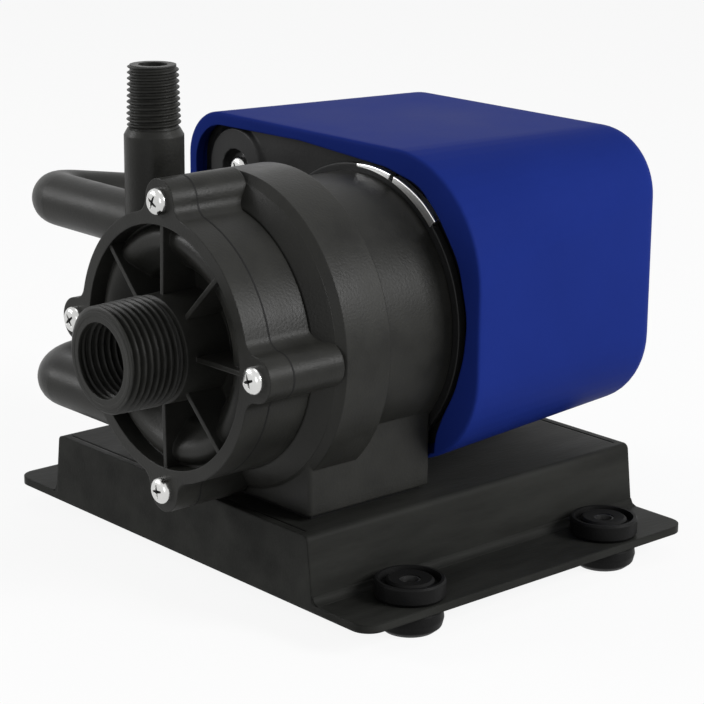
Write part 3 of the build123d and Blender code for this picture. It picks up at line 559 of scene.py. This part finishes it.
class PUMP_OT_rings(bpy.types.Operator):
    """Slanted front lip of the adapter, end ring of the motor and joint line of the housing"""

    bl_idname = "pump.rings"
    bl_label = "Adapter lip and end ring"

    def execute(self, context):
        n = context.scene.pump_sizes.mesh_turns
        lip = soften([(31.0, -53.1), (33.4, -53.1), (38.2, -50.02), (38.2, -49.4), (31.0, -49.4)],
                     [0, 0.3, 0, 0, 0])
        Shells().grid(turned_y(lip, n)).piece("adapter_lip", "pump_frame", "black_plastic")
        self.end_ring(n)
        self.joint_line()
        return {"FINISHED"}

    @staticmethod
    def end_ring(n):
        """One metal ring split by painted light. The inner ring and most of the outer one take the black
        bracket finish as painted shade. The outer arcs from 44 to 91.5 degrees at the upper right, less a
        narrow notch near 71.5, take bright alloy as a painted highlight. The outer profile is (r, y). Its
        outer edge stands out by a width that falls straight to 0 from 53 to 91 degrees, or by a fixed step."""
        low_r, seam_r, high_r = END_RING_R
        front, back = MOTOR_Y + 0.15, MOTOR_Y + END_RING_THICK
        # painted light on one ring: bright alloy paints the highlight where light from above catches it,
        # black paints the shade on the rest
        painted_highlight_arcs, painted_shade_arcs = Shells(), Shells()
        painted_shade_arcs.grid(turned_y(np.array([(low_r, front), (seam_r, front), (seam_r, back), (low_r, back)]), n))
        profile = soften([(36.2, MOTOR_Y + 0.2), (high_r, MOTOR_Y + 0.2), (high_r, back), (36.2, back)],
                         [0, 0.3, 0.2, 0])[None]
        outer_side = np.where(profile[..., 0] > 36.5, 1.0, 0.0)
        # each row: shells, first and last angle in degrees, width that falls off, fixed step
        arcs = ((painted_highlight_arcs, 44.0, 70.4, 1.6, 0.0), (painted_highlight_arcs, 72.6, 91.5, 1.6, 0.0),
                (painted_shade_arcs, 91.7, 403.8, 0.0, 0.0), (painted_shade_arcs, 70.6, 72.4, 0.0, -0.5))
        for shells, first, last, width, step in arcs:
            degrees = np.linspace(first, last, max(8, int((last - first) * 1.6)))[:, None]
            a = np.radians(degrees)
            r = profile[..., 0] + outer_side * (width * np.clip((91.0 - degrees) / 38.0, 0, 1) + step)
            y = profile[..., 1] + 0 * a
            loops = np.stack([AXIS_X + r * np.cos(a), y, AXIS_Z + r * np.sin(a)], axis=-1)
            ends = [np.repeat(loops[k].mean(0)[None, None], loops.shape[1], axis=1) for k in (0, -1)]
            shells.grid(np.concatenate([ends[0], loops, ends[1]]), close_rows=False)
        # the bright arcs are a painted highlight, the black rest is painted shade
        painted_highlight_arcs.piece("end_ring_painted_highlight", "pump_frame", "end_alloy", ("motor_end_ring",))
        painted_shade_arcs.piece("end_ring_painted_shade", "pump_frame", "bracket_metal")

    @staticmethod
    def joint_line():
        """The joint between cover and casing: a thin band that follows their lobed outline."""
        turn = round_angles(1440)
        around = lobed_reach(turn)
        loops = [np.stack([AXIS_X + (around + grow) * np.cos(turn), np.full(len(turn), y),
                           AXIS_Z + (around + grow) * np.sin(turn)], axis=-1)
                 for grow, y in ((0.04, JOINT_Y - 0.22), (0.04, JOINT_Y + 0.22), (-0.6, JOINT_Y + 0.22),
                                 (-0.6, JOINT_Y - 0.22))]
        Shells().grid(np.stack(loops)).piece("joint_line", "pump_frame", "seal_rubber")


# base
FOLD_R = 2.0
FOLD_SKIN = 0.9
FOLD_TUCK = 0.6
WEB_X = 53.7
FLANGE_THICK = 2.0


class PUMP_OT_folds(bpy.types.Operator):
    """Rounded inner corners where the side webs of the base turn out into its flanges"""

    bl_idname = "pump.folds"
    bl_label = "Base folds"

    def execute(self, context):
        low, high = node_box("base_plate")
        top_z = float(low[2]) + FLANGE_THICK
        turn = np.linspace(1.5 * math.pi, 1.03 * math.pi, 12)
        x, z = WEB_X + FOLD_R, top_z + FOLD_R
        arc = np.stack([x + FOLD_R * np.cos(turn), z + FOLD_R * np.sin(turn)], axis=-1)
        under = top_z - FOLD_TUCK
        profile = np.concatenate([arc, [(WEB_X - FOLD_SKIN, z), (WEB_X - FOLD_SKIN, under), (x, under)]])
        middle = profile.mean(0)
        front, back = float(low[1]) + 0.05, float(high[1]) - 0.05
        shells = Shells()
        for side in (-1, 1):
            rows = []
            for y, share in ((front, 0.0), (front, 1.0), (back, 1.0), (back, 0.0)):
                loop = middle + (profile - middle) * share
                rows.append(np.stack([side * loop[:, 0], np.full(len(loop), y), loop[:, 1]], axis=-1))
            shells.grid(np.stack(rows), close_rows=False)
        shells.piece("base_folds", "pump_frame", "base_sheet", sharp=60.0)
        return {"FINISHED"}


# outlines of the blue cover
CENTRE = np.array([4.0, 69.0])


def even_outline(points, radii, count=2400):
    """A rounded outline resampled to even steps along its length."""
    loop = soften(points, radii, 14)
    loop = np.concatenate([loop, loop[:1]])
    run = np.concatenate([[0.0], np.cumsum(np.linalg.norm(np.diff(loop, axis=0), axis=1))])
    s = np.linspace(0, run[-1], count, endpoint=False)
    return np.stack([np.interp(s, run, loop[:, 0]), np.interp(s, run, loop[:, 1])], axis=-1)


def reach(outline, angles):
    """Distance from CENTRE to an outline in each direction."""
    d = outline - CENTRE
    phi = np.arctan2(d[:, 1], d[:, 0]) % TAU
    order = np.argsort(phi)
    return np.interp(angles, phi[order], np.hypot(d[:, 0], d[:, 1])[order], period=TAU)


def level_loop(angles, radius, y):
    """A ring of points round CENTRE at y: x and z are CENTRE plus radius times (cos, sin) of the angle."""
    return np.stack([CENTRE[0] + radius * np.cos(angles), np.full(len(angles), y),
                     CENTRE[1] + radius * np.sin(angles)], axis=-1)


def cover_outline(y, inset):
    """Rounded box outline of the cover at y: every side and corner radius runs straight from the
    front edge to the back, where the floor rises and the sides draw in."""
    t = (y - MOTOR_Y) / (COVER_BACK - MOTOR_Y)

    def between(front, back):
        """The value at y of a size that is front at the mouth and back at the far end."""
        return front + (back - front) * t

    x0 = between(-53.4, -48.4) + inset
    x1 = between(61.3, 54.2) - inset
    z0 = between(31.2, 34.0) + inset
    z1 = between(109.1, 109.0) - inset
    radii = [max(0.5, value - inset) for value in
             (between(13.0, 18.0), between(31.0, 17.0), between(26.0, 21.0), between(15.0, 16.0))]
    return even_outline([(x0, z1), (x1, z1), (x1, z0), (x0, z0)], radii)


def cover_mouth():
    """Front opening: round at the right, straight down beside the pedestal, wide at the left."""
    points = [(-50.0, 105.6), (-6.0, 106.2), (27.0, 104.2), (39.3, 101.4), (46.2, 94.9), (53.6, 84.7),
              (57.1, 71.0), (56.0, 61.2), (53.2, 52.2), (49.0, 44.6), (46.3, 38.5), (46.3, 31.8),
              (-17.0, 31.8), (-17.0, 35.0), (-50.0, 35.0)]
    return even_outline(points, [11, 0, 12, 14, 18, 22, 22, 25, 25, 22, 14, 0.4, 0.4, 0.4, 11])


# motor bracket
BRACKET_THICK = 4.0
PLATE_DEPTH = 1.1
PAD_R = 12.0
POCKET_R = 5.4
POCKET_DEPTH = 2.2


class PUMP_OT_bracket(bpy.types.Operator):
    """Front bracket of the motor: a plate with raised pads and hollows round the arm screws"""

    bl_idname = "pump.bracket"
    bl_label = "Motor bracket"

    def execute(self, context):
        front = float(node_box("motor_front_bracket")[0][1])
        angles = round_angles(720)
        edge = reach(cover_outline(front + 1.0, 3.2), angles)
        rows = []
        for share in np.concatenate([np.linspace(0.0, 0.5, 12), np.linspace(0.5, 1.0, 80)[1:]]):
            loop = level_loop(angles, edge * share, front)
            loop[:, 1] += self.relief(loop[:, 0], loop[:, 2])
            rows.append(loop)
        for share in (1.0, 0.0):
            rows.append(level_loop(angles, edge * share, front + BRACKET_THICK))
        Shells().grid(np.stack(rows), close_rows=False).piece(
            "bracket_plate", "pump_frame", "bracket_metal", ("motor_front_bracket",), sharp=60.0)
        return {"FINISHED"}

    @staticmethod
    def relief(x, z):
        """Depth behind the front plane: PLATE_DEPTH on the plate, 0 on the round pads, POCKET_DEPTH in the
        hollows at the screws, with straight slopes between."""
        screw_x, levels = screw_pair("arm_screws")
        depth = np.full_like(x, PLATE_DEPTH)
        for level in levels:
            away = np.hypot(x - screw_x, z - level)
            depth = depth - PLATE_DEPTH * np.clip((PAD_R - away) / 1.2, 0, 1)
            depth = depth + POCKET_DEPTH * np.clip((POCKET_R - away) / 0.9, 0, 1)
        return np.clip(depth, 0.0, POCKET_DEPTH)


# blue cover
COVER_WALL = 3.0
COVER_LIP = 2.5
BACK_EDGE_R = 6.0
FRONT_EDGE_R = 0.9
BOSS_R = 4.2
BOSS_DEPTH = 4.5
GROMMET_BORE_R = 2.95


class PUMP_OT_cover(bpy.types.Operator):
    """Blue motor cover with its front opening"""

    bl_idname = "pump.cover"
    bl_label = "Blue cover"

    def execute(self, context):
        angles = round_angles(480)
        rows = self.outside(angles)
        rim = reach(cover_outline(MOTOR_Y, FRONT_EDGE_R), angles)
        mouth = np.minimum(reach(cover_mouth(), angles), rim - 0.15)
        rows += [level_loop(angles, rim + (mouth - rim) * share, MOTOR_Y) for share in (0.35, 0.7, 1.0)]
        rows += self.inside(angles, mouth)
        shells = Shells().grid(np.stack(rows), close_rows=False)

        # a round boss seats each screw on the curved back
        screw_x, levels = screw_pair("cover_screws")
        root_y = COVER_BACK - BOSS_DEPTH
        boss = soften([(0.0, root_y), (BOSS_R, root_y), (BOSS_R, COVER_BACK), (0.0, COVER_BACK)],
                      [0, 0, 0.6, 0])
        for level in levels:
            shells.grid(turned_y(boss, 72, screw_x, level), close_rows=False)
        shells.piece("blue_cover", "pump_frame", "blue_cover", ("motor_cover",), sharp=35.0)

        # a thin black disc across the bore of the cable grommet is painted shade, so the open bore reads as a
        # dark hole
        low, high = node_box("cable_grommet")
        back = float(high[1]) - 0.9
        front = back - 0.4
        grommet_shade_disc = np.array([(0.0, front), (GROMMET_BORE_R, front), (GROMMET_BORE_R, back), (0.0, back)])
        x, z = (float(low[0]) + float(high[0])) / 2, (float(low[2]) + float(high[2])) / 2
        Shells().grid(turned_y(grommet_shade_disc, 48, x, z), close_rows=False).piece(
            "grommet_painted_shade", "pump_frame", "seal_rubber")
        return {"FINISHED"}

    @staticmethod
    def outside(angles):
        """Rings from the middle of the back over its rounded edge, along the sides and round the front
        edge. A rounded edge is a quarter circle: y moves by the sine of its turn, the inset by the cosine."""
        flat = reach(cover_outline(COVER_BACK, BACK_EDGE_R), angles)
        rows = [level_loop(angles, flat * share, COVER_BACK) for share in np.linspace(0.0, 1.0, 12)]
        for turn in np.linspace(0.5 * math.pi, 0.0, 12)[1:]:
            y = COVER_BACK - BACK_EDGE_R * (1 - math.sin(turn))
            inset = BACK_EDGE_R * (1 - math.cos(turn))
            rows.append(level_loop(angles, reach(cover_outline(y, inset), angles), y))
        for y in np.linspace(COVER_BACK - BACK_EDGE_R, MOTOR_Y + FRONT_EDGE_R, 40)[1:]:
            rows.append(level_loop(angles, reach(cover_outline(y, 0.0), angles), y))
        for turn in np.linspace(0.0, 0.5 * math.pi, 6)[1:]:
            y = MOTOR_Y + FRONT_EDGE_R * (1 - math.sin(turn))
            inset = FRONT_EDGE_R * (1 - math.cos(turn))
            rows.append(level_loop(angles, reach(cover_outline(y, inset), angles), y))
        return rows

    @staticmethod
    def inside(angles, mouth):
        """Rings from the mouth's edge through the lip and along the inner wall to the middle of the back."""
        lip_y = MOTOR_Y + COVER_LIP
        inner_back = COVER_BACK - COVER_WALL
        wall = reach(cover_outline(lip_y, COVER_WALL), angles)
        rows = [level_loop(angles, mouth, lip_y), level_loop(angles, np.maximum(wall, mouth), lip_y)]
        for y in np.linspace(lip_y, inner_back, 30)[1:]:
            rows.append(level_loop(angles, reach(cover_outline(y, COVER_WALL), angles), y))
        last = reach(cover_outline(inner_back, COVER_WALL), angles)
        rows += [level_loop(angles, last * share, inner_back) for share in np.linspace(1.0, 0.0, 6)[1:]]
        return rows


# finishes of the solids that stay as they are
class PUMP_OT_finishes(bpy.types.Operator):
    """Finishes of the solids that stay as they are"""

    bl_idname = "pump.finishes"
    bl_label = "Finishes"

    def execute(self, context):
        make_finishes(context.scene.pump_colours)
        for name, obj in frame["nodes"].items():
            obj.data.materials.clear()
            obj.data.materials.append(FINISHES[slot_of(name)])
        return {"FINISHED"}


# stage
ROOM_COLOUR = (0.97, 0.98, 1.0, 1.0)
ROOM_LIGHT = 0.26
FLOOR_COLOUR = (0.86, 0.86, 0.86, 1.0)
FLOOR_R = 3.0
FLOOR_GLOW = 0.9
AIM = (0.0, -0.01, 0.06)
# each lamp: name, place in metres, side in metres, power in watts
LAMPS = (
    ("overhead", (0.0, 0.1, 1.0), 0.5, 0.9),
    ("key", (-0.85, -0.8, 0.55), 0.45, 7.5),
    ("fill", (0.55, -1.0, 0.3), 0.5, 1.3),
    ("side", (0.95, 0.45, 0.6), 0.45, 11.5),
)
CAMERA_PLACE = (0.4362, -0.3798, 0.2097)
CAMERA_RIGHT = (0.65814, 0.75283, 0.00740)
CAMERA_UP = (-0.20602, 0.17063, 0.96355)
CAMERA_BACK = (0.72414, -0.63571, 0.26740)
SENSOR_WIDTH = 36.0
CAMERA_LENS = 115.77


def softbox(name, place, aim, side, power):
    """A square area lamp at a place, turned to face a point."""
    lamp = bpy.data.lights.new(name, "AREA")
    lamp.shape = "RECTANGLE"
    lamp.size = side
    lamp.size_y = side
    lamp.energy = power
    obj = bpy.data.objects.new(name, lamp)
    obj.location = place
    obj.rotation_euler = (Vector(aim) - Vector(place)).to_track_quat("-Z", "Y").to_euler()
    bpy.context.scene.collection.objects.link(obj)


def seen_rays(tree):
    """1 for camera, glossy and transmission rays, which meet the white background."""
    path = tree.nodes.new("ShaderNodeLightPath")
    first = tree.nodes.new("ShaderNodeMath")
    first.operation = "MAXIMUM"
    second = tree.nodes.new("ShaderNodeMath")
    second.operation = "MAXIMUM"
    tree.links.new(path.outputs["Is Camera Ray"], first.inputs[0])
    tree.links.new(path.outputs["Is Glossy Ray"], first.inputs[1])
    tree.links.new(first.outputs[0], second.inputs[0])
    tree.links.new(path.outputs["Is Transmission Ray"], second.inputs[1])
    return second.outputs[0]


def white_room(scene):
    """A dim even room for light, and pure white where camera, glossy and transmission rays meet it."""
    world = bpy.data.worlds.new("studio")
    scene.world = world
    world.use_nodes = True
    tree = world.node_tree
    tree.nodes.clear()
    out = tree.nodes.new("ShaderNodeOutputWorld")
    mix = tree.nodes.new("ShaderNodeMixShader")
    room = tree.nodes.new("ShaderNodeBackground")
    room.inputs["Color"].default_value = ROOM_COLOUR
    room.inputs["Strength"].default_value = ROOM_LIGHT
    white = tree.nodes.new("ShaderNodeBackground")
    white.inputs["Color"].default_value = (1.0, 1.0, 1.0, 1.0)
    white.inputs["Strength"].default_value = 1.0
    tree.links.new(seen_rays(tree), mix.inputs[0])
    tree.links.new(room.outputs[0], mix.inputs[1])
    tree.links.new(white.outputs[0], mix.inputs[2])
    tree.links.new(mix.outputs[0], out.inputs[0])


def floor_finish():
    """Matt pale grey that glows white to the rays that meet the background, so the floor has no edge."""
    mat = bpy.data.materials.new("pale_floor")
    mat.use_nodes = True
    tree = mat.node_tree
    tree.nodes.clear()
    out = tree.nodes.new("ShaderNodeOutputMaterial")
    matt = tree.nodes.new("ShaderNodeBsdfDiffuse")
    matt.inputs["Color"].default_value = FLOOR_COLOUR
    glow = tree.nodes.new("ShaderNodeEmission")
    glow.inputs["Strength"].default_value = 1.0
    share = tree.nodes.new("ShaderNodeMath")
    share.operation = "MULTIPLY"
    share.inputs[1].default_value = FLOOR_GLOW
    mix = tree.nodes.new("ShaderNodeMixShader")
    tree.links.new(seen_rays(tree), share.inputs[0])
    tree.links.new(share.outputs[0], mix.inputs[0])
    tree.links.new(matt.outputs[0], mix.inputs[1])
    tree.links.new(glow.outputs[0], mix.inputs[2])
    tree.links.new(mix.outputs[0], out.inputs[0])
    return mat


def pale_floor(scene):
    """A flat disc of polar rings whose radius grows with the power 1.5 of its step."""
    rings, turns = 24, 96
    a = round_angles(turns)[None, :]
    r = FLOOR_R * np.linspace(0, 1, rings)[:, None] ** 1.5 + 0 * a
    disc = np.stack([r * np.cos(a), r * np.sin(a), 0 * r], axis=-1)
    mesh = bpy.data.meshes.new("floor")
    mesh.from_pydata(disc.reshape(-1, 3), [], grid_quads(rings, turns, False, True).tolist())
    floor = bpy.data.objects.new("floor", mesh)
    scene.collection.objects.link(floor)
    mesh.materials.append(floor_finish())


def photo_camera(scene):
    """The camera that was fitted to the photograph, from its place and its three axes."""
    camera = bpy.data.cameras.new("photo_view")
    camera.sensor_fit = "HORIZONTAL"
    camera.sensor_width = SENSOR_WIDTH
    camera.lens = CAMERA_LENS
    camera.clip_start = 0.01
    camera.clip_end = 20.0
    view = bpy.data.objects.new("photo_view", camera)
    axes = Matrix((CAMERA_RIGHT, CAMERA_UP, CAMERA_BACK)).transposed()
    view.matrix_world = Matrix.Translation(CAMERA_PLACE) @ axes.normalized().to_4x4()
    scene.collection.objects.link(view)
    scene.camera = view


class PUMP_OT_stage(bpy.types.Operator):
    """Pale floor, soft studio light and the camera"""

    bl_idname = "pump.stage"
    bl_label = "Stage"

    def execute(self, context):
        scene = context.scene
        scene.view_settings.view_transform = "Standard"
        white_room(scene)
        pale_floor(scene)
        for name, place, side, power in LAMPS:
            softbox(name, place, AIM, side, power)
        photo_camera(scene)
        return {"FINISHED"}


# panel and registration
class PUMP_PT_panel(bpy.types.Panel):
    """Buttons for the pump's pieces"""

    bl_idname = "PUMP_PT_panel"
    bl_label = "Pump"
    bl_space_type = "VIEW_3D"
    bl_region_type = "UI"
    bl_category = "Pump"

    def draw(self, context):
        for name in STEPS:
            self.layout.operator("pump." + name)
        for group in (context.scene.pump_sizes, context.scene.pump_colours):
            for key in group.__annotations__:
                self.layout.prop(group, key)


STEPS = ("stage", "finishes", "inlet", "outlet", "screws", "rings", "cover", "bracket", "folds")
CLASSES = (
    PumpSizes, PumpColours, PUMP_OT_stage, PUMP_OT_finishes, PUMP_OT_inlet, PUMP_OT_outlet, PUMP_OT_screws,
    PUMP_OT_rings, PUMP_OT_cover, PUMP_OT_bracket, PUMP_OT_folds, PUMP_PT_panel,
)


def register():
    """Add the pump's classes and its two groups of properties."""
    for cls in CLASSES:
        bpy.utils.register_class(cls)
    bpy.types.Scene.pump_sizes = PointerProperty(type=PumpSizes)
    bpy.types.Scene.pump_colours = PointerProperty(type=PumpColours)


def unregister():
    """Take away what register added."""
    del bpy.types.Scene.pump_colours
    del bpy.types.Scene.pump_sizes
    for cls in reversed(CLASSES):
        bpy.utils.unregister_class(cls)


def main():
    """Make every piece in the order of STEPS."""
    register()
    for name in STEPS:
        getattr(bpy.ops.pump, name)()


if __name__ == "__main__":
    main()
